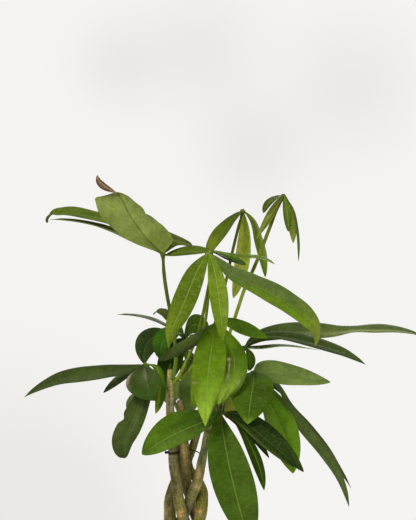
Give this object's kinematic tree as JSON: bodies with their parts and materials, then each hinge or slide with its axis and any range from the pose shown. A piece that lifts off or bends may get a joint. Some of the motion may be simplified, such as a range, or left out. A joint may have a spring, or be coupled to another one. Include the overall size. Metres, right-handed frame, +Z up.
{
  "type": "potted money tree",
  "caption": "Young money tree with braided stems and palm-shaped leaves, growing in a plain round pot that stands on its flat base.",
  "frame": {"origin": "centre of the pot's flat base, on the surface that the plant stands on", "axes": "+Z up, +X to the right and +Y away from the viewer, as the plant is seen from the front"},
  "size_m": [0.4549, 0.2859, 0.688],
  "materials": {
    "pot": "satin",
    "soil": "matte",
    "bark": "matte",
    "tie": "satin",
    "young_leaf": "satin",
    "mature_leaf": "satin"
  },
  "bodies": {
    "root": {"pot": "pot", "soil": "soil", "stem_1": "bark", "stem_2": "bark", "stem_3": "bark", "stem_4": "bark", "stem_5": "bark", "tie": "tie", "leaf_upper_left": "mature_leaf", "leaf_centre_front": "young_leaf", "leaf_centre_level": "young_leaf", "leaf_top_centre": "young_leaf", "leaf_top_right": "young_leaf", "leaf_right_upper": "mature_leaf", "leaf_bright_front": "young_leaf", "leaf_low_right": "mature_leaf", "leaf_low_front": "mature_leaf", "leaf_left": "mature_leaf", "leaf_back_left": "mature_leaf", "leaf_inner": "mature_leaf", "leaf_back_high": "mature_leaf", "leaf_back_right": "mature_leaf", "leaf_back_low": "mature_leaf"}
  },
  "joints": []
}
